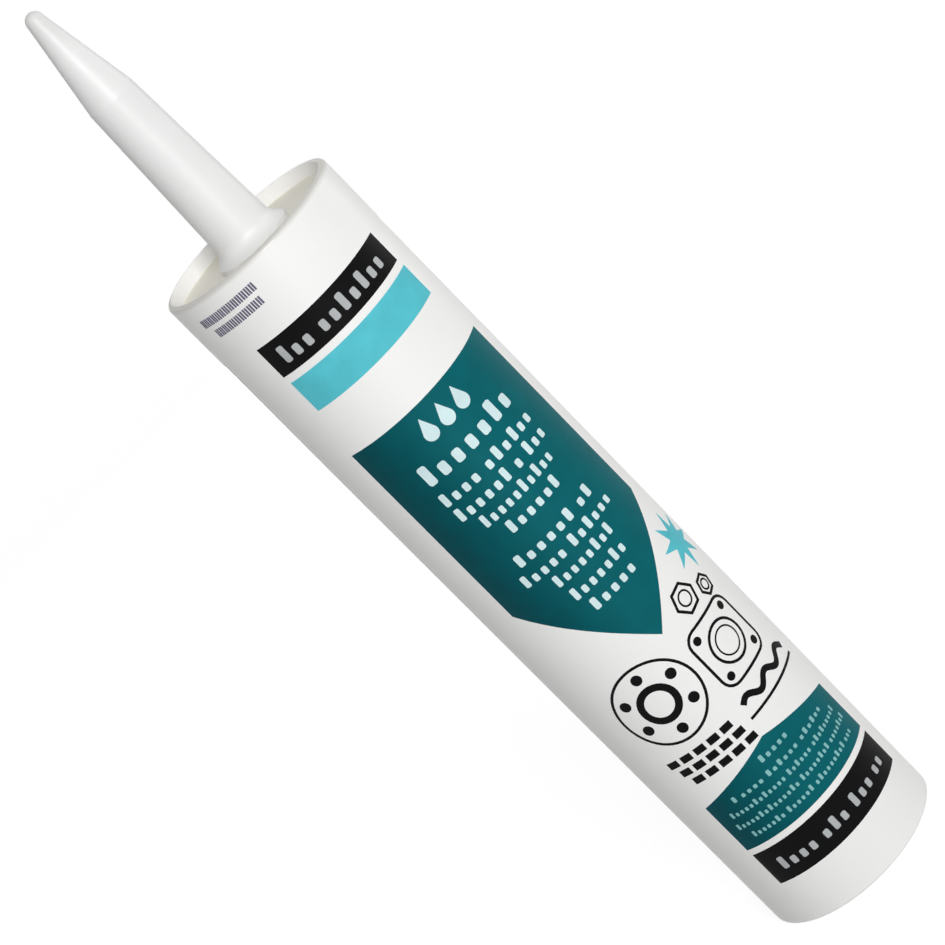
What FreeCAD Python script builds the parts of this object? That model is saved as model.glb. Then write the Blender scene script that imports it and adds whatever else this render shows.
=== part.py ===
import FreeCAD, Part
import math
import os
import re

import Sketcher

# A 300 ml sealant cartridge that stands on its open rear rim.
# Origin: centre of the rear rim. +Z runs up the tube to the nozzle tip. The printed side faces -Y.
# Lengths are in millimetres.
SIZES = {
    # The tube, an injection moulding of its wall, front rim, end wall and neck.
    "tube_length": (216.6, "rear rim to front rim"),
    "tube_diameter": (50.0, "outside of the tube"),
    "tube_wall": (1.75, "wall along the paste"),
    "rim_wall": (1.6, "front rim, thinner than the tube wall"),
    "rim_round": (1.2, "rounding of the front rim towards the outside"),
    "rim_bevel": (0.15, "bevel of the front rim towards the recess"),
    "recess_depth": (3.8, "front rim down to the end wall"),
    "end_wall": (1.6, "thickness of the end wall"),
    "mouth_relief": (0.25, "how much wider the rear mouth is, on the radius"),
    "mouth_depth": (10.0, "straight stretch of the rear mouth"),
    "mouth_bevel": (0.3, "bevels of the rear rim, inside and outside"),
    "neck_diameter": (11.0, "neck at the root of its thread"),
    "neck_bore": (7.6, "passage through the neck"),
    "neck_height": (12.0, "neck above the end wall"),
    "neck_bevel": (0.6, "bevel at the top of the neck"),
    "seal_thickness": (0.6, "skin that closes the neck until it is cut"),
    "thread_height": (0.85, "thread crest above its root"),
    "thread_pitch": (2.6, "rise of the thread in one turn"),
    "thread_turns": (3.0, "turns on the neck"),
    "thread_start": (2.2, "first turn above the end wall"),
    "thread_foot": (1.5, "width of the thread at its root"),
    "thread_crest": (0.7, "width of the thread at its crest"),
    # The nozzle, one hollow moulding that screws over the neck.
    "socket_gap": (0.3, "thread crest to the nozzle's socket"),
    "nozzle_wall": (1.2, "wall of the nozzle"),
    "flange_diameter": (20.8, "flange on the end wall"),
    "flange_edge": (1.4, "thickness of the flange at its rim"),
    "flare_height": (5.4, "end wall to where the flare meets the cone"),
    "flare_round": (3.5, "hollow rounding of the flare"),
    "shoulder_height": (47.6, "end wall to the shoulder between the two cones"),
    "shoulder_diameter": (12.7, "outside at the shoulder"),
    "tip_height": (74.3, "end wall to the end of the closed tip"),
    "tip_diameter": (4.7, "outside where the round tip begins"),
    "tip_solid": (3.2, "solid end of the tip that is cut off before use"),
    "tip_passage": (2.2, "passage where the solid tip begins"),
    "seat_gap": (0.4, "neck top to the step inside the nozzle"),
    "step_width": (1.3, "step inside the nozzle above the neck"),
    # The piston, a cup with a sealing lip at each end.
    "piston_rear": (13.0, "rear rim of the tube to the rear of the piston"),
    "piston_length": (22.0, "piston with its lips"),
    "piston_gap": (0.08, "lips to the tube's bore"),
    "piston_slack": (0.7, "skirt between the lips to the tube's bore"),
    "piston_wall": (1.4, "wall of the piston's skirt"),
    "piston_floor": (1.8, "disc that pushes the paste"),
    "lip_length": (2.6, "straight part of each lip"),
    "lip_wall": (0.9, "front lip at its free edge"),
    "dish_depth": (2.4, "front lip beyond the disc"),
    "rib_count": (8, "gussets inside the cup"),
    "rib_thickness": (1.2, "each gusset"),
    "rib_reach": (6.0, "gusset along the disc"),
    "rib_drop": (11.0, "gusset along the skirt"),
    # The paste that fills the tube from the piston to the neck's skin.
    "paste_gap": (0.06, "paste to the curved walls around it"),
}

doc = FreeCAD.newDocument("sealant_cartridge")
sheet = doc.addObject("Spreadsheet::Sheet", "Sizes")
for row, (alias, (size, note)) in enumerate(SIZES.items(), start=1):
    sheet.set(f"A{row}", alias)
    sheet.set(f"B{row}", str(size))
    sheet.setAlias(f"B{row}", alias)
    sheet.set(f"C{row}", note)
doc.recompute()

# Places and radii that several pieces share, each an expression of the sheet's sizes.
tube_radius = "(tube_diameter / 2)"
bore_radius = "(tube_diameter / 2 - tube_wall)"
mouth_radius = f"({bore_radius} + mouth_relief)"
recess_radius = "(tube_diameter / 2 - rim_wall)"
floor_level = "(tube_length - recess_depth)"
paste_level = f"({floor_level} - end_wall)"
neck_radius = "(neck_diameter / 2)"
neck_top = f"({floor_level} + neck_height)"
crest_radius = f"({neck_radius} + thread_height)"
socket_radius = f"({crest_radius} + socket_gap)"
cone_radius = f"({socket_radius} + nozzle_wall)"
piston_radius = f"({bore_radius} - piston_gap)"
skirt_radius = f"({bore_radius} - piston_slack)"
cup_radius = f"({skirt_radius} - piston_wall)"
piston_front = "(piston_rear + piston_length)"
disc_front = f"({piston_front} - dish_depth)"
disc_rear = f"({disc_front} - piston_floor)"


def bound(expression):
    """The same expression as other objects of the document write it."""
    return re.sub(r"[a-z]+_[a-z_]+", r"Sizes.\g<0>", expression)


def number(expression):
    """What an expression of the sheet's sizes comes to now."""
    return float(sheet.evalExpression(expression))


def new_body(label):
    body = doc.addObject("PartDesign::Body", label)
    body.Label = label
    return body


def upright_sketch(body, name):
    """A sketch on the body's own XZ plane: sketch x is the radius, sketch y the height."""
    sketch = body.newObject("Sketcher::SketchObject", name)
    plane = next(item for item in body.Origin.OriginFeatures if item.Role == "XZ_Plane")
    sketch.AttachmentSupport = [(plane, "")]
    sketch.MapMode = "FlatFace"
    return sketch


def arc_middle(start, end, bend):
    """Middle of the short arc from start to end; its centre is on the left where bend is positive."""
    chord = end - start
    radius = abs(bend)
    left = FreeCAD.Vector(-chord.y, chord.x, 0).normalize()
    sagitta = radius - math.sqrt(max(radius ** 2 - (chord.Length / 2) ** 2, 0))
    return (start + end) * 0.5 - left * math.copysign(sagitta, bend)


def draw_outline(sketch, corners):
    """Close an outline through corners given as (x, z) or, for an arc that ends there, (x, z, bend)."""
    points = [FreeCAD.Vector(number(corner[0]), number(corner[1]), 0) for corner in corners]
    marks = []
    for index, end in enumerate(points):
        start = points[index - 1]
        bend = number(corners[index][2]) if len(corners[index]) == 3 else 0
        # A sketch counts an arc's ends anticlockwise, so one that turns clockwise is drawn from its end.
        marks.append((2, 1) if bend < 0 else (1, 2))
        if bend > 0:
            sketch.addGeometry(Part.Arc(start, arc_middle(start, end, bend), end), False)
        elif bend < 0:
            sketch.addGeometry(Part.Arc(end, arc_middle(start, end, bend), start), False)
        else:
            sketch.addGeometry(Part.LineSegment(start, end), False)

    def hold(constraint, expression):
        place = sketch.addConstraint(constraint)
        sketch.setExpression(f"Constraints[{place}]", bound(expression))

    for index, corner in enumerate(corners):
        following = (index + 1) % len(points)
        last = marks[index][1]
        next_first = marks[following][0]
        sketch.addConstraint(Sketcher.Constraint("Coincident", index, last, following, next_first))
        hold(Sketcher.Constraint("DistanceX", -1, 1, index, last, points[index].x), corner[0])
        hold(Sketcher.Constraint("DistanceY", -1, 1, index, last, points[index].y), corner[1])
        if len(corner) == 3:
            radius = abs(number(corner[2]))
            hold(Sketcher.Constraint("Radius", index, radius), f"abs({corner[2]})")


def turn_outline(body, name, corners):
    """Revolve an outline about the tube's axis."""
    sketch = upright_sketch(body, f"{name}_outline")
    draw_outline(sketch, corners)
    turned = body.newObject("PartDesign::Revolution", name)
    turned.Profile = sketch
    turned.ReferenceAxis = (sketch, ["V_Axis"])
    turned.Angle = 360
    sketch.Visibility = False
    return turned


def make_barrel():
    """Tube wall, front rim, end wall and neck, with the thread that the nozzle screws on to."""
    body = new_body("barrel")
    # The rim's rounding is an arc of 45 degrees below and a slope to the rim's top above it.
    half_round = "rim_round * (1 - sqrt(0.5))"
    turn_outline(body, "tube", [
        (f"{mouth_radius} + mouth_bevel", "0"),
        (f"{tube_radius} - mouth_bevel", "0"),
        (tube_radius, "mouth_bevel"),
        (tube_radius, "tube_length - rim_round"),
        (f"{tube_radius} - {half_round}", f"tube_length - {half_round}", "rim_round"),
        (f"{tube_radius} - rim_round", "tube_length"),
        (f"{recess_radius} + rim_bevel", "tube_length"),
        (recess_radius, "tube_length - rim_bevel"),
        (recess_radius, floor_level),
        (neck_radius, floor_level),
        (neck_radius, f"{neck_top} - neck_bevel"),
        (f"{neck_radius} - neck_bevel", neck_top),
        ("0", neck_top),
        ("0", f"{neck_top} - seal_thickness"),
        ("neck_bore / 2", f"{neck_top} - seal_thickness"),
        ("neck_bore / 2", paste_level),
        (bore_radius, paste_level),
        (bore_radius, "mouth_bevel + mouth_depth + mouth_relief"),
        (mouth_radius, "mouth_bevel + mouth_depth"),
        (mouth_radius, "mouth_bevel"),
    ])
    ridge = upright_sketch(body, "thread_section")
    middle = f"({floor_level} + thread_start)"
    root = f"({neck_radius} - thread_height / 2)"
    draw_outline(ridge, [
        (root, f"{middle} - thread_foot / 2"),
        (neck_radius, f"{middle} - thread_foot / 2"),
        (crest_radius, f"{middle} - thread_crest / 2"),
        (crest_radius, f"{middle} + thread_crest / 2"),
        (neck_radius, f"{middle} + thread_foot / 2"),
        (root, f"{middle} + thread_foot / 2"),
    ])
    thread = body.newObject("PartDesign::AdditiveHelix", "neck_thread")
    thread.Profile = ridge
    thread.ReferenceAxis = (ridge, ["V_Axis"])
    thread.Mode = "pitch-turns-angle"
    thread.setExpression("Pitch", bound("thread_pitch"))
    thread.setExpression("Turns", bound("thread_turns"))
    ridge.Visibility = False
    return body


def make_nozzle():
    """Flange, flare and two cones outside; socket, step and tapering passage inside; closed tip."""
    body = new_body("nozzle")
    tip_radius = "(tip_diameter / 2)"
    tip_base = f"({floor_level} + tip_height - {tip_radius})"
    socket_top = f"({neck_top} + seat_gap)"
    shoulder_level = f"({floor_level} + shoulder_height)"
    # The flare slopes at 45 degrees from the flange to its rounding, which turns it upright in two
    # arcs. Two arcs make up the round tip as well.
    flare_top = f"({floor_level} + flare_height)"
    turn_outline(body, "spout", [
        (socket_radius, floor_level),
        ("flange_diameter / 2", floor_level),
        ("flange_diameter / 2", f"{floor_level} + flange_edge"),
        (f"{cone_radius} + flare_round * (1 - sqrt(0.5))", f"{flare_top} - flare_round * sqrt(0.5)"),
        (f"{cone_radius} + flare_round * (1 - cos(22.5))",
         f"{flare_top} - flare_round * sin(22.5)", "-flare_round"),
        (cone_radius, flare_top, "-flare_round"),
        ("shoulder_diameter / 2", shoulder_level),
        (tip_radius, tip_base),
        (f"{tip_radius} * sqrt(0.5)", f"{tip_base} + {tip_radius} * sqrt(0.5)", tip_radius),
        ("0", f"{floor_level} + tip_height", tip_radius),
        ("0", f"{floor_level} + tip_height - tip_solid"),
        ("tip_passage / 2", f"{floor_level} + tip_height - tip_solid"),
        ("shoulder_diameter / 2 - nozzle_wall", shoulder_level),
        (f"{socket_radius} - step_width", socket_top),
        (socket_radius, socket_top),
    ])
    return body


def make_piston():
    """Disc with a lip that leans on the bore, a skirt with a second lip, and gussets in its cup."""
    body = new_body("piston")
    turn_outline(body, "cup", [
        (cup_radius, "piston_rear"),
        (piston_radius, "piston_rear"),
        (piston_radius, "piston_rear + lip_length"),
        (skirt_radius, "piston_rear + 2 * lip_length"),
        (skirt_radius, f"{piston_front} - 2 * lip_length"),
        (piston_radius, f"{piston_front} - lip_length"),
        (piston_radius, piston_front),
        (f"{piston_radius} - lip_wall", piston_front),
        (f"{cup_radius} - lip_wall", disc_front),
        ("0", disc_front),
        ("0", disc_rear),
        (cup_radius, disc_rear),
    ])
    gusset_outline = upright_sketch(body, "gusset_outline")
    draw_outline(gusset_outline, [
        (f"{cup_radius} - rib_reach", disc_rear),
        (cup_radius, f"{disc_rear} - rib_drop"),
        (f"{cup_radius} + piston_wall / 2", f"{disc_rear} - rib_drop"),
        (f"{cup_radius} + piston_wall / 2", f"{disc_rear} + piston_floor / 2"),
        (f"{cup_radius} - rib_reach", f"{disc_rear} + piston_floor / 2"),
    ])
    gusset = body.newObject("PartDesign::Pad", "gusset")
    gusset.Profile = gusset_outline
    gusset.SideType = "Symmetric"
    gusset.setExpression("Length", bound("rib_thickness"))
    gussets = body.newObject("PartDesign::PolarPattern", "gussets")
    gussets.Originals = [gusset]
    gussets.Axis = (gusset_outline, ["V_Axis"])
    gussets.Angle = 360
    gussets.setExpression("Occurrences", bound("rib_count"))
    gusset_outline.Visibility = False
    body.Tip = gussets
    return body


def make_sealant():
    """The paste: a column from the piston's dish to the end wall, and the plug in the neck."""
    body = new_body("sealant")
    paste_radius = f"({bore_radius} - paste_gap)"
    plug_radius = "(neck_bore / 2 - paste_gap)"
    turn_outline(body, "column", [
        ("0", disc_front),
        (f"{cup_radius} - lip_wall - paste_gap", disc_front),
        (f"{piston_radius} - lip_wall - paste_gap", piston_front),
        (paste_radius, piston_front),
        (paste_radius, paste_level),
        (plug_radius, paste_level),
        (plug_radius, f"{neck_top} - seal_thickness"),
        ("0", f"{neck_top} - seal_thickness"),
    ])
    return body


def check_sound(pieces):
    """Stop where an object failed to build or a piece isn't one valid solid."""
    for item in doc.Objects:
        if "Invalid" in item.State or "Error" in item.State:
            raise RuntimeError(f"{item.Name} failed: {item.State}")
    for piece in pieces:
        shape = piece.Shape
        if shape.isNull() or not shape.isValid() or len(shape.Solids) != 1:
            raise RuntimeError(f"{piece.Label} is not one valid solid")


pieces = [make_barrel(), make_nozzle(), make_piston(), make_sealant()]
doc.recompute()
check_sound(pieces)
os.makedirs("parts", exist_ok=True)
for piece in pieces:
    piece.Shape.exportStep(f"parts/{piece.Label}.step")
    print(f"{piece.Label}: {piece.Shape.Volume / 1000:.2f} ml")
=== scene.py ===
import math

import bmesh
import bpy
from mathutils import Matrix, Vector


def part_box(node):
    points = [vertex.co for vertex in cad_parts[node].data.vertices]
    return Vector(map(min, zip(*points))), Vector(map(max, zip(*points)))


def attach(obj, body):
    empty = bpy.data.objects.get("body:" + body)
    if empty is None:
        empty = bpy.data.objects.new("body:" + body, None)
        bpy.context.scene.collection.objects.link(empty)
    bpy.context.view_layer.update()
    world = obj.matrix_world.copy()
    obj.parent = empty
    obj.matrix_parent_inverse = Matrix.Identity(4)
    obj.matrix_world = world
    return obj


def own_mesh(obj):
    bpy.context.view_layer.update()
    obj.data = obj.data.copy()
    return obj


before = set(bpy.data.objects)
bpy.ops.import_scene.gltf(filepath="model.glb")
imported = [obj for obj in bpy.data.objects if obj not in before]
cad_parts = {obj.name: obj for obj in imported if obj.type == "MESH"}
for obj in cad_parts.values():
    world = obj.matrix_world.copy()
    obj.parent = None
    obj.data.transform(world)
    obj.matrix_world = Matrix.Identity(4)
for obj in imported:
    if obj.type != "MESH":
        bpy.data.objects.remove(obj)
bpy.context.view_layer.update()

MM = 0.001

# Colours of the inks, the mouldings and the paste.
BLACK = (0.0025, 0.0025, 0.0030)
TEAL = (0.002, 0.117, 0.138)
CYAN = (0.10, 0.545, 0.63)
PALE = (0.66, 0.83, 0.85)
PALE_GREY = (0.46, 0.48, 0.49)
PALE_TEAL = (0.24, 0.52, 0.53)
CODE_GREY = (0.14, 0.13, 0.20)
BARREL_WHITE = (0.90, 0.90, 0.885)
NOZZLE_WHITE = (0.82, 0.82, 0.815)
PISTON_WHITE = (0.86, 0.86, 0.83)
PASTE_WHITE = (0.88, 0.88, 0.86)

# Most of a noise texture's values lie between these two.
NOISE_LOW = 0.3
NOISE_HIGH = 0.7

# Places on the object, in metres. The nozzle stands on the end wall of the front recess.
END_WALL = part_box("nozzle")[0][2]
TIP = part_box("nozzle")[1][2]
RIM_TOP = END_WALL + 0.0038
RECESS_RADIUS = 0.0234

# Tints that multiply a colour, and the places between which each fades in, in metres. They are painted
# shade:
# on the front recess's end wall, which also gets a cream tone, on the rim's rounded edge, at the nozzle's
# tip and on the teal field's left side. A sharp tint fades in over EDGE.
EDGE = 0.0001
# Painted shade on the front recess's end wall, with a cream tone.
RECESS_SHADE_TINT = (0.90, 0.865, 0.77)
# Painted shade on the rim's rounded edge, below its top.
RIM_SHADE_TINT = (0.71, 0.70, 0.67)
RIM_RADIUS = RECESS_RADIUS + 3 * EDGE
RIM_SHADE_START = RIM_TOP - 0.0015
RIM_SHADE_FULL = RIM_TOP - 0.0006
# Painted shade at the nozzle's tip.
TIP_SHADE_TINT = (0.90, 0.90, 0.895)
TIP_SHADE_START = TIP - 0.0131
TIP_SHADE_FULL = TIP - 0.0041
# Painted shade on the teal field's left side.
TEAL_SHADE_TINT = (0.08, 0.54, 0.57)
TEAL_SHADE_START = -0.002
TEAL_SHADE_FULL = -0.0185

# The print is laid out flat, in millimetres: "across" runs round the tube from the middle of the
# printed side, to the right as one faces it, and "up" is the height above the rear rim. A film of ink
# reaches from under the tube's surface to above it, and is cut into strips so that it bends.
TUBE_RADIUS = (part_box("barrel")[1][0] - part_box("barrel")[0][0]) / 2 / MM
INK_BELOW = 0.03
INK_ABOVE = 0.03
STRIP = 0.8
SAME_POINT = 1e-4
CREASE = math.radians(30)
MITRE_LIMIT = 0.4
PEN = 0.75
FINE_PEN = 0.45

# The label's fields. A band is its left, right, low and high side, and the others are outlines.
UPPER_BLACK_BAND = (-22.0, 20.6, 190.0, 199.0)
CYAN_BAND = (-21.7, 21.2, 178.8, 188.0)
LOWER_BLACK_BAND = (-24.0, 24.1, 13.5, 24.0)
MAIN_FIELD = [(-24.4, 165.2), (-24.4, 110.0), (0.1, 83.5), (24.8, 110.0), (24.8, 165.2)]
LOWER_FIELD = [(-24.1, 25.8), (24.1, 25.8), (24.1, 41.2), (0.0, 47.5), (-24.1, 41.2)]

# Rows of small blocks: how far up, how high and how wide a row is, and how many blocks its runs have.
UPPER_BAND_ROW = (194.5, 4.6, 34.0, (3, 7))
UPPER_BAND_SHIFT = -1.0
LOWER_BAND_ROW = (18.6, 3.8, 39.0, (4, 3, 3, 2))
MAIN_ROWS = (
    (150.8, 5.6, 28.8, (7,)),
    (143.5, 3.6, 30.4, (4, 6)),
    (138.5, 3.6, 30.0, (6, 1, 3)),
    (133.6, 3.4, 23.2, (10,)),
    (128.5, 3.4, 16.2, (6,)),
    (120.7, 3.3, 25.4, (6, 2)),
    (115.7, 3.3, 30.4, (5, 6)),
    (110.9, 3.2, 18.8, (8,)),
    (105.7, 3.3, 17.2, (7,)),
    (100.7, 3.3, 13.6, (5,)),
)
LOWER_ROWS = (
    (43.6, 2.0, 9.0, (5,)),
    (39.7, 1.7, 33.0, (1, 4, 6, 6)),
    (36.2, 1.7, 40.0, (12, 6, 9)),
    (32.7, 1.7, 42.0, (14, 8, 7)),
    (29.2, 1.7, 38.0, (7, 6, 9, 3)),
)

# In a row, the spaces between blocks and between runs in block widths, which blocks in seven are tall,
# and as shares how high the others are and how round the corners.
BLOCK_SPACE = 0.85
RUN_SPACE = 1.7
TALL_IN_SEVEN = (0, 5)
LOW_SHARE = 0.62
CORNER_SHARE = 0.3

# Drops above the rows.
DROP_PLACES = [(-5.3, 157.9), (0.0, 157.9), (5.3, 157.9)]

# The marking code's rows of tick pairs: how far up, the first pair's place and the number of pairs.
# A row has that height where across is CODE_LEVEL, and rises to the right. Its ticks start below it.
CODE_ROWS = ((210.9, -29.6, 13), (207.4, -27.6, 11))
CODE_LEVEL = -20
CODE_SLANT = 0.04
TICK_DROP = 1.0
TICK_HEIGHT = 2.2
TICK_WIDTH = 0.5
TICK_PITCH = 0.7
PAIR_PITCH = 1.5

# The floor's own light, where it is seen, evens out the lamps' light between two distances, in metres.
FLOOR_SIZE = 14
FLOOR_GREY = 0.34
LIFT_NEAR = 0.79
LIFT_FAR = 0.865
NEAR_DISTANCE = 0.1
FAR_DISTANCE = 1.5

# Strength of the world's light on the object, from the left and from the right.
WORLD_LEFT = 0.33
WORLD_RIGHT = 0.36

# The camera stands a little left of the print's middle and above the tube, and is rolled so that the
# upright tube lies along the picture's diagonal. Distances are in millimetres.
CAMERA_AZIMUTH = math.radians(-8.3)
CAMERA_DISTANCE = 818.8
CAMERA_HEIGHT = 377.7
CAMERA_PITCH = math.radians(16.38)
CAMERA_YAW = math.radians(-0.097)
CAMERA_ROLL = math.radians(44.66)
CAMERA_LENS = 137.1


def node_tools(material):
    """A material's nodes, and the call that links two sockets."""
    return material.node_tree.nodes, material.node_tree.links.new


def new_material(name):
    """A material with only a Principled shader, its nodes, that shader and the call that links."""
    material = bpy.data.materials.new(name)
    material.use_nodes = True
    nodes, link = node_tools(material)
    return material, nodes, nodes["Principled BSDF"], link


def object_noise(nodes, link, scale, detail):
    """Noise in the object's own space, so that it stays on the surface."""
    place = nodes.new("ShaderNodeTexCoord")
    noise = nodes.new("ShaderNodeTexNoise")
    noise.inputs["Scale"].default_value = scale
    noise.inputs["Detail"].default_value = detail
    link(place.outputs["Object"], noise.inputs["Vector"])
    return noise.outputs["Fac"]


def mapped(nodes, link, value, start, end, low=0.0, high=1.0):
    """low where value is at start or beyond, high where it is at end or beyond, and even in between."""
    spread = nodes.new("ShaderNodeMapRange")
    spread.inputs["From Min"].default_value = start
    spread.inputs["From Max"].default_value = end
    spread.inputs["To Min"].default_value = low
    spread.inputs["To Max"].default_value = high
    link(value, spread.inputs["Value"])
    return spread.outputs["Result"]


def combined(nodes, link, operation, values):
    """Values multiplied with each other, or the largest of them, as the operation says."""
    result = values[0]
    for value in values[1:]:
        step = nodes.new("ShaderNodeMath")
        step.operation = operation
        link(result, step.inputs[0])
        link(value, step.inputs[1])
        result = step.outputs["Value"]
    return result


def tinted(nodes, link, value, first, second):
    """A colour that wanders from first to second with value."""
    ramp = nodes.new("ShaderNodeValToRGB")
    start, end = ramp.color_ramp.elements
    start.position = NOISE_LOW
    start.color = (*first, 1)
    end.position = NOISE_HIGH
    end.color = (*second, 1)
    link(value, ramp.inputs["Fac"])
    return ramp.outputs["Color"]


def uneven_gloss(nodes, link, surface, scale, roughness, spread):
    """Roughness that wanders by spread to both sides, in grains of the noise's scale."""
    grain = object_noise(nodes, link, scale, detail=3)
    gloss = mapped(nodes, link, grain, NOISE_LOW, NOISE_HIGH, roughness - spread, roughness + spread)
    link(gloss, surface.inputs["Roughness"])


def shade(colour, factor):
    """A colour made darker or lighter."""
    return tuple(channel * factor for channel in colour)


def plastic(name, colour, roughness, ripple, milky=0.0):
    """Moulded polyethylene: a soft gloss, a faint cloudiness and the mould's slight waviness."""
    material, nodes, surface, link = new_material(name)
    cloud = object_noise(nodes, link, scale=60, detail=2)
    link(tinted(nodes, link, cloud, shade(colour, 0.985), colour), surface.inputs["Base Color"])
    uneven_gloss(nodes, link, surface, scale=900, roughness=roughness, spread=0.04)
    bump = nodes.new("ShaderNodeBump")
    bump.inputs["Strength"].default_value = ripple
    bump.inputs["Distance"].default_value = 0.0004
    link(object_noise(nodes, link, scale=90, detail=1), bump.inputs["Height"])
    link(bump.outputs["Normal"], surface.inputs["Normal"])
    surface.inputs["IOR"].default_value = 1.5
    surface.inputs["Subsurface Weight"].default_value = milky
    surface.inputs["Subsurface Radius"].default_value = (0.9, 0.85, 0.7)
    surface.inputs["Subsurface Scale"].default_value = 0.003
    return material


def ink(name, colour, roughness=0.42):
    """Printing ink: a thin film with a slightly uneven colour and gloss."""
    material, nodes, surface, link = new_material(name)
    cloud = object_noise(nodes, link, scale=180, detail=4)
    link(tinted(nodes, link, cloud, shade(colour, 0.94), shade(colour, 1.06)), surface.inputs["Base Color"])
    uneven_gloss(nodes, link, surface, scale=1600, roughness=roughness, spread=0.05)
    surface.inputs["Specular IOR Level"].default_value = 0.07
    return material


def tint_where(nodes, link, mask, tint):
    """Multiply the colour of the nodes' shader with tint where mask is 1."""
    base = nodes["Principled BSDF"].inputs["Base Color"]
    mix = nodes.new("ShaderNodeMix")
    mix.data_type = "RGBA"
    mix.blend_type = "MULTIPLY"
    mix.inputs[7].default_value = (*tint, 1)
    link(mask, mix.inputs[0])
    link(base.links[0].from_socket, mix.inputs[6])
    link(mix.outputs[2], base)


def own_place(nodes, link, axis):
    """The surface's X, Y or Z on its own object."""
    split = nodes.new("ShaderNodeSeparateXYZ")
    link(nodes.new("ShaderNodeTexCoord").outputs["Object"], split.inputs["Vector"])
    return split.outputs[axis]


def own_radius(nodes, link):
    """The surface's distance from its own object's Z axis."""
    flat = nodes.new("ShaderNodeVectorMath")
    flat.operation = "MULTIPLY"
    flat.inputs[1].default_value = (1, 1, 0)
    link(nodes.new("ShaderNodeTexCoord").outputs["Object"], flat.inputs[0])
    length = nodes.new("ShaderNodeVectorMath")
    length.operation = "LENGTH"
    link(flat.outputs["Vector"], length.inputs[0])
    return length.outputs["Value"]


def paint_front_shade(material):
    """Paint shade on the end wall, with a cream tone, and on the rim's rounded edge."""
    nodes, link = node_tools(material)
    height = own_place(nodes, link, "Z")
    radius = own_radius(nodes, link)
    end_wall = combined(nodes, link, "MULTIPLY", [
        mapped(nodes, link, radius, RECESS_RADIUS + 2 * EDGE, RECESS_RADIUS + EDGE),
        mapped(nodes, link, height, END_WALL - 10 * EDGE, END_WALL - 5 * EDGE),
        mapped(nodes, link, height, END_WALL + 2 * EDGE, END_WALL + EDGE),
    ])
    rim = combined(nodes, link, "MULTIPLY", [
        mapped(nodes, link, radius, RIM_RADIUS - EDGE, RIM_RADIUS),
        mapped(nodes, link, height, RIM_SHADE_START, RIM_SHADE_FULL),
    ])
    # Painted shade on the end wall, with a cream tone.
    tint_where(nodes, link, end_wall, RECESS_SHADE_TINT)
    # Painted shade on the rim's rounded edge.
    tint_where(nodes, link, rim, RIM_SHADE_TINT)


def paint_tip_shade(material):
    """Paint shade on the nozzle's end: its colour is darkened towards the tip."""
    nodes, link = node_tools(material)
    height = own_place(nodes, link, "Z")
    tint_where(nodes, link, mapped(nodes, link, height, TIP_SHADE_START, TIP_SHADE_FULL), TIP_SHADE_TINT)


def paint_left_shade(material):
    """Paint shade into an ink towards its field's left edge, the tube's shaded side."""
    nodes, link = node_tools(material)
    sideways = own_place(nodes, link, "X")
    tint_where(nodes, link, mapped(nodes, link, sideways, TEAL_SHADE_START, TEAL_SHADE_FULL), TEAL_SHADE_TINT)


def dress_mouldings():
    """Materials of the moulded pieces and the paste, whose shapes are right as they are."""
    looks = {
        "barrel": plastic("barrel_plastic", BARREL_WHITE, roughness=0.36, ripple=0.05),
        "nozzle": plastic("nozzle_plastic", NOZZLE_WHITE, roughness=0.44, ripple=0.02, milky=0.1),
        "piston": plastic("piston_plastic", PISTON_WHITE, roughness=0.42, ripple=0.05),
        "sealant": plastic("sealing_paste", PASTE_WHITE, roughness=0.30, ripple=0.25, milky=0.1),
    }
    # Painted shade in the front recess, on the rim's rounded edge and at the nozzle's tip.
    paint_front_shade(looks["barrel"])
    paint_tip_shade(looks["nozzle"])
    for node, look in looks.items():
        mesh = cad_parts[node].data
        mesh.materials.clear()
        mesh.materials.append(look)


def block(left, right, low, high):
    """Outline of a rectangle on the flat layout."""
    return [(left, low), (right, low), (right, high), (left, high)]


def on_circle(middle, radius, turn):
    """The point of a circle at an angle, on the flat layout."""
    return (middle[0] + radius * math.cos(turn), middle[1] + radius * math.sin(turn))


def rounded_box(middle, width, height, radius):
    """Outline of a rounded rectangle."""
    steps = 5
    corners = [(1, 1, 0), (-1, 1, 90), (-1, -1, 180), (1, -1, 270)]
    outline = []
    for right, top, start in corners:
        centre = (middle[0] + right * (width / 2 - radius), middle[1] + top * (height / 2 - radius))
        for step in range(steps + 1):
            outline.append(on_circle(centre, radius, math.radians(start + 90 * step / steps)))
    return outline


def polygon(middle, radius, sides, start=0.0):
    """A regular polygon whose first corner is at the angle start. With many sides it is a disc."""
    return [on_circle(middle, radius, start + 2 * math.pi * side / sides) for side in range(sides)]


def star(middle, outer, inner, points):
    """A regular star with its points at the outer radius and its notches at the inner one."""
    outline = []
    for corner in range(2 * points):
        radius = outer if corner % 2 else inner
        outline.append(on_circle(middle, radius, math.pi * (corner + 0.5) / points))
    return outline


def drop(middle, radius, height):
    """A drop with its point towards the nozzle."""
    steps = 24
    lean = math.acos(radius / (height - radius))
    round_part = []
    for step in range(steps + 1):
        turn = math.pi / 2 + lean + (2 * math.pi - 2 * lean) * step / steps
        round_part.append(on_circle(middle, radius, turn))
    return [(middle[0], middle[1] + height - radius)] + round_part


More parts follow.
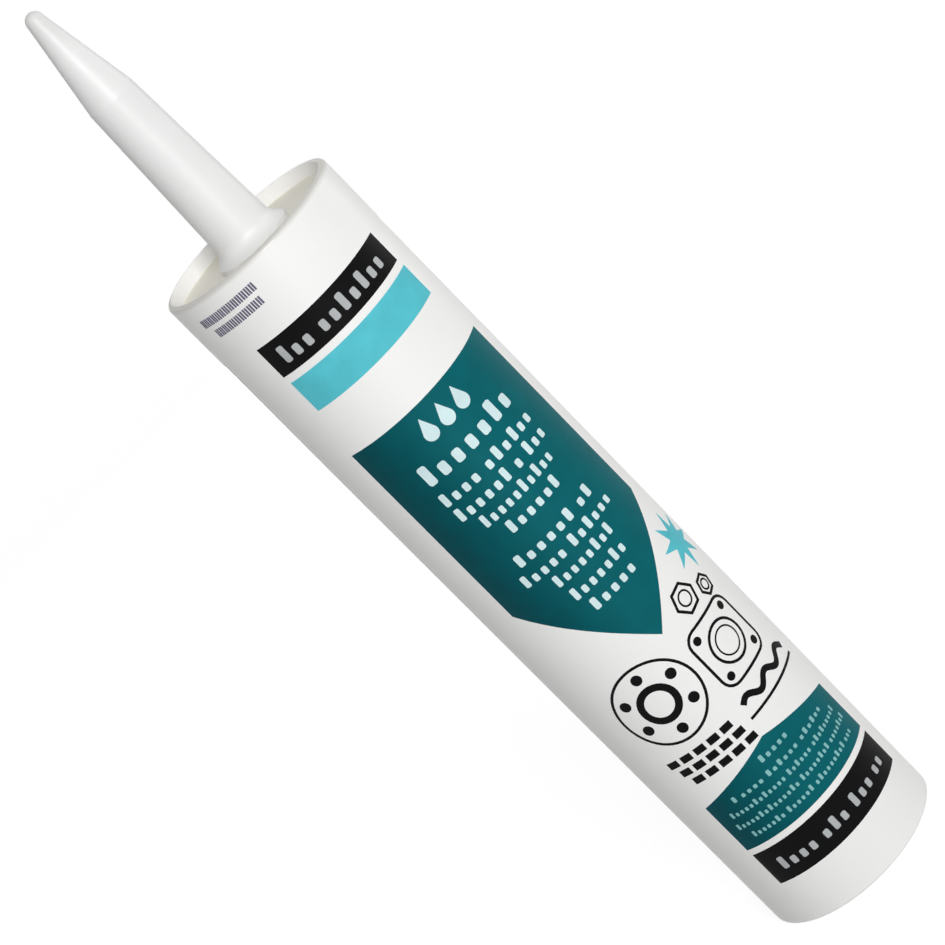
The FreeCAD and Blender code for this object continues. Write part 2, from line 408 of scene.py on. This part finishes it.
def stroke(points, width, closed=False):
    """Quads that follow a line of points with a pen of that width, mitred at its corners."""
    path = [Vector(point) for point in points]
    count = len(path)
    left, right = [], []
    for index, point in enumerate(path):
        before = path[index - 1] if closed or index else point
        after = path[(index + 1) % count] if closed or index < count - 1 else point
        incoming = (point - before).normalized() if before != point else (after - point).normalized()
        outgoing = (after - point).normalized() if after != point else incoming
        along = (incoming + outgoing).normalized()
        side = Vector((-along.y, along.x))
        reach = width / 2 / max(MITRE_LIMIT, side.dot(Vector((-incoming.y, incoming.x))))
        left.append(point + side * reach)
        right.append(point - side * reach)
    pairs = range(count if closed else count - 1)
    return [(left[i], left[(i + 1) % count], right[(i + 1) % count], right[i]) for i in pairs]


def marks(up, height, width, runs, across=0.0):
    """A row of small upright blocks of two heights, in runs, centred on across."""
    lefts = []
    place = 0.0
    for run in runs:
        lefts += [place + step * (1 + BLOCK_SPACE) for step in range(run)]
        place = lefts[-1] + 1 + RUN_SPACE
    total = lefts[-1] + 1
    scale = width / total
    row = []
    for count, left in enumerate(lefts):
        tall = height if count % 7 in TALL_IN_SEVEN else height * LOW_SHARE
        middle = (across + (left + 0.5 - total / 2) * scale, up - height / 2 + tall / 2)
        row.append(rounded_box(middle, scale, tall, min(scale, tall) * CORNER_SHARE))
    return row


def printed(name, outlines, look, layer=0):
    """One closed film of ink, bent round the tube. Each outline is flat, and layers lie on each other."""
    bm = bmesh.new()
    for outline in outlines:
        bm.faces.new([bm.verts.new((point[0], point[1], 0)) for point in outline])
    bmesh.ops.remove_doubles(bm, verts=bm.verts, dist=SAME_POINT)
    low = min(vert.co.x for vert in bm.verts)
    high = max(vert.co.x for vert in bm.verts)
    for cut in range(math.ceil(low / STRIP), math.floor(high / STRIP) + 1):
        everything = bm.verts[:] + bm.edges[:] + bm.faces[:]
        bmesh.ops.bisect_plane(bm, geom=everything, plane_co=(cut * STRIP, 0, 0), plane_no=(1, 0, 0))
    bmesh.ops.recalc_face_normals(bm, faces=bm.faces)
    raised = bmesh.ops.extrude_face_region(bm, geom=bm.faces[:], use_keep_orig=True)
    for vert in [item for item in raised["geom"] if isinstance(item, bmesh.types.BMVert)]:
        vert.co.z = 1
    for vert in bm.verts:
        lift = (INK_ABOVE if vert.co.z else -INK_BELOW) + layer * INK_ABOVE
        turn = vert.co.x / TUBE_RADIUS
        reach = TUBE_RADIUS + lift
        vert.co = Vector((reach * math.sin(turn), -reach * math.cos(turn), vert.co.y)) * MM
    bmesh.ops.recalc_face_normals(bm, faces=bm.faces)
    for face in bm.faces:
        face.smooth = True
    for edge in bm.edges:
        edge.smooth = len(edge.link_faces) == 2 and edge.calc_face_angle() < CREASE
    mesh = bpy.data.meshes.new(name)
    bm.to_mesh(mesh)
    bm.free()
    mesh.materials.append(look)
    piece = bpy.data.objects.new(name, mesh)
    bpy.context.scene.collection.objects.link(piece)
    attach(piece, "barrel")


def print_fields(inks):
    """The coloured fields of the label."""
    printed("upper_black_band", [block(*UPPER_BLACK_BAND)], inks["black"])
    printed("cyan_band", [block(*CYAN_BAND)], inks["cyan"])
    printed("main_teal_field", [MAIN_FIELD], inks["teal"])
    printed("lower_teal_field", [LOWER_FIELD], inks["teal"])
    printed("lower_black_band", [block(*LOWER_BLACK_BAND)], inks["black"])


def print_rows(inks):
    """Drops and rows of small blocks on the label's fields."""
    main_rows = [drop(place, radius=1.95, height=6.6) for place in DROP_PLACES]
    for row in MAIN_ROWS:
        main_rows += marks(*row)
    lower_rows = []
    for row in LOWER_ROWS:
        lower_rows += marks(*row)
    printed("main_rows", main_rows, inks["pale"], layer=1)
    printed("upper_band_row", marks(*UPPER_BAND_ROW, across=UPPER_BAND_SHIFT), inks["pale_grey"], layer=1)
    printed("lower_band_row", marks(*LOWER_BAND_ROW), inks["pale_grey"], layer=1)
    printed("lower_rows", lower_rows, inks["pale_teal"], layer=1)


def flange_drawing():
    """A round flange with a gasket in its middle and six bolt holes."""
    middle = (-12.2, 71.0)
    shapes = stroke(polygon(middle, radius=11.4, sides=56), PEN, closed=True)
    shapes += stroke(polygon(middle, radius=4.6, sides=32), width=1.9, closed=True)
    for hole in polygon(middle, radius=8.3, sides=6, start=math.radians(30)):
        shapes.append(polygon(hole, radius=1.45, sides=18))
    return shapes


def cover_drawing():
    """A square cover with a round port and four bolt holes."""
    middle = (11.0, 69.5)
    side = 17.5
    reach = 6.1
    shapes = stroke(rounded_box(middle, side, side, radius=3.4), PEN, closed=True)
    shapes += stroke(polygon(middle, radius=5.4, sides=32), PEN, closed=True)
    shapes += stroke(polygon(middle, radius=3.6, sides=28), FINE_PEN, closed=True)
    for right in (-reach, reach):
        for top in (-reach, reach):
            shapes.append(polygon((middle[0] + right, middle[1] + top), radius=1.15, sides=16))
    return shapes


def nut_drawing():
    """Two hexagon nuts, each with its hole."""
    shapes = []
    for middle, radius in (((10.6, 84.6), 3.9), ((18.4, 81.8), 2.7)):
        shapes += stroke(polygon(middle, radius, sides=6, start=math.radians(8)), PEN, closed=True)
        shapes += stroke(polygon(middle, radius / 2, sides=20), width=0.5, closed=True)
    return shapes


def block_drawing():
    """Rows of small blocks, each row shifted a little from the one above."""
    rows, columns = 3, 5
    width, height = 3.1, 2.0
    pitch_across, pitch_down, shift = 4.2, 3.2, 1.3
    first_left, first_low = -23.0, 54.6
    shapes = []
    for row in range(rows):
        for column in range(columns):
            left = first_left + pitch_across * column + shift * row
            low = first_low - pitch_down * row
            shapes.append(block(left, left + width, low, low + height))
    return shapes


def bead_drawing():
    """A wavy bead of paste."""
    start, middle_height = 2.0, 56.2
    steps, step_length = 44, 0.5
    swing, waviness = 1.1, 0.75
    path = []
    for step in range(steps + 1):
        along = step_length * step
        path.append((start + along, middle_height + swing * math.sin(waviness * along)))
    return stroke(path, width=1.7)


def print_motifs(inks):
    """Line drawings of a flange, a cover, nuts and a bead, small blocks, and a star."""
    base_line = [(1.0, 52.4), (24.6, 52.4)]
    printed("flange_drawing", flange_drawing(), inks["black"])
    printed("cover_drawing", cover_drawing(), inks["black"])
    printed("nut_drawing", nut_drawing(), inks["black"])
    printed("small_blocks", block_drawing(), inks["black"])
    printed("bead_drawing", bead_drawing(), inks["black"])
    printed("bead_base", stroke(base_line, PEN), inks["black"])
    printed("cyan_star", [star((23.6, 93.0), outer=8.3, inner=3.5, points=8)], inks["cyan"])


def print_code(inks):
    """Two slightly slanted rows of fine ticks in pairs, from a marking machine."""
    ticks = []
    for up, first, count in CODE_ROWS:
        for pair in range(count):
            across = first + PAIR_PITCH * pair
            low = up - TICK_DROP + CODE_SLANT * (across - CODE_LEVEL)
            for left in (across, across + TICK_PITCH):
                ticks.append(block(left, left + TICK_WIDTH, low, low + TICK_HEIGHT))
    printed("marking_ticks", ticks, inks["code"])


def seen_directly(nodes, link):
    """1 on rays that the camera sees, directly, in a reflection or through glass."""
    rays = nodes.new("ShaderNodeLightPath").outputs
    kinds = [rays["Is Camera Ray"], rays["Is Glossy Ray"], rays["Is Transmission Ray"]]
    return combined(nodes, link, "MAXIMUM", kinds)


def make_floor():
    """A plain floor that looks white and shows the object's shadow."""
    bpy.ops.mesh.primitive_plane_add(size=FLOOR_SIZE)
    floor = bpy.context.object
    floor.name = "floor"
    material, nodes, surface, link = new_material("floor_paint")
    surface.inputs["Base Color"].default_value = (FLOOR_GREY, FLOOR_GREY, FLOOR_GREY, 1)
    surface.inputs["Roughness"].default_value = 0.9
    surface.inputs["Specular IOR Level"].default_value = 0.1
    surface.inputs["Emission Color"].default_value = (1, 1, 1, 1)
    distance = nodes.new("ShaderNodeVectorMath")
    distance.operation = "LENGTH"
    link(nodes.new("ShaderNodeTexCoord").outputs["Object"], distance.inputs[0])
    lift = mapped(nodes, link, distance.outputs["Value"], NEAR_DISTANCE, FAR_DISTANCE, LIFT_NEAR, LIFT_FAR)
    strength = combined(nodes, link, "MULTIPLY", [seen_directly(nodes, link), lift])
    link(strength, surface.inputs["Emission Strength"])
    floor.data.materials.append(material)


def around(azimuth, distance, height):
    """A point at an azimuth to the right of the camera, in metres."""
    turn = CAMERA_AZIMUTH + math.radians(azimuth)
    return Vector((distance * math.sin(turn), -distance * math.cos(turn), height))


def make_world():
    """White where it is seen, and a soft light on the object that is a little stronger from the right."""
    world = bpy.data.worlds.new("studio")
    world.use_nodes = True
    bpy.context.scene.world = world
    nodes = world.node_tree.nodes
    link = world.node_tree.links.new
    rightward = nodes.new("ShaderNodeVectorMath")
    rightward.operation = "DOT_PRODUCT"
    rightward.inputs[1].default_value = around(azimuth=90, distance=1, height=0)
    link(nodes.new("ShaderNodeTexCoord").outputs["Generated"], rightward.inputs[0])
    level = mapped(nodes, link, rightward.outputs["Value"], -1, 1, WORLD_LEFT, WORLD_RIGHT)
    strength = nodes.new("ShaderNodeMix")
    link(seen_directly(nodes, link), strength.inputs["Factor"])
    link(level, strength.inputs["A"])
    strength.inputs["B"].default_value = 1.0
    link(strength.outputs["Result"], nodes["Background"].inputs["Strength"])
    nodes["Background"].inputs["Color"].default_value = (1, 1, 1, 1)


def make_camera():
    """The photograph's viewpoint, with the camera's axes worked out from its heading, pitch and roll."""
    heading = CAMERA_AZIMUTH - CAMERA_YAW
    forward = Vector((
        -math.sin(heading) * math.cos(CAMERA_PITCH),
        math.cos(heading) * math.cos(CAMERA_PITCH),
        -math.sin(CAMERA_PITCH),
    ))
    right = Vector((math.cos(heading), math.sin(heading), 0))
    upward = right.cross(forward)
    picture_x = right * math.cos(CAMERA_ROLL) - upward * math.sin(CAMERA_ROLL)
    picture_y = right * math.sin(CAMERA_ROLL) + upward * math.cos(CAMERA_ROLL)
    data = bpy.data.cameras.new("camera")
    data.lens = CAMERA_LENS
    data.sensor_width = 36
    data.clip_start = 0.01
    camera = bpy.data.objects.new("camera", data)
    bpy.context.scene.collection.objects.link(camera)
    turn = Matrix((picture_x, picture_y, -forward)).transposed().to_4x4()
    camera.matrix_world = Matrix.Translation(around(0, CAMERA_DISTANCE * MM, CAMERA_HEIGHT * MM)) @ turn
    bpy.context.scene.camera = camera


def soft_lamp(name, place, target, width, height, power, mirrored=True):
    """A rectangular lamp that faces the target. Glossy surfaces mirror it or not."""
    data = bpy.data.lights.new(name, "AREA")
    data.shape = "RECTANGLE"
    data.size = width
    data.size_y = height
    data.energy = power
    lamp = bpy.data.objects.new(name, data)
    bpy.context.scene.collection.objects.link(lamp)
    lamp.visible_glossy = mirrored
    lamp.location = place
    lamp.rotation_euler = (target - place).to_track_quat("-Z", "Y").to_euler()


def make_light():
    """A broad key beside the camera, a weak lamp on the right, and one that lights only the back."""
    middle = Vector((0, 0, 0.15))
    key_place = around(azimuth=8, distance=1.3, height=0.58)
    soft_lamp("key", key_place, middle, width=0.5, height=0.6, power=13.2)
    side_place = around(azimuth=110, distance=0.9, height=0.3)
    soft_lamp("side", side_place, middle, width=0.5, height=0.9, power=2.3)
    # The back lamp is low and small, so that it doesn't shine into the front recess.
    back_place = around(azimuth=180, distance=0.9, height=0.095)
    back_target = Vector((0, 0, back_place.z))
    soft_lamp("back", back_place, back_target, width=0.3, height=0.17, power=2.8, mirrored=False)


def main():
    bpy.context.scene.view_settings.view_transform = "Standard"
    inks = {
        "black": ink("black_ink", BLACK),
        "teal": ink("teal_ink", TEAL),
        "cyan": ink("cyan_ink", CYAN),
        "pale": ink("pale_ink", PALE),
        "pale_grey": ink("pale_grey_ink", PALE_GREY),
        "pale_teal": ink("pale_teal_ink", PALE_TEAL),
        "code": ink("code_ink", CODE_GREY, roughness=0.6),
    }
    # Painted shade on the teal field's left side.
    paint_left_shade(inks["teal"])
    dress_mouldings()
    print_fields(inks)
    print_rows(inks)
    print_motifs(inks)
    print_code(inks)
    make_floor()
    make_world()
    make_camera()
    make_light()
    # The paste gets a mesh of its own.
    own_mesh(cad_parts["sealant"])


main()
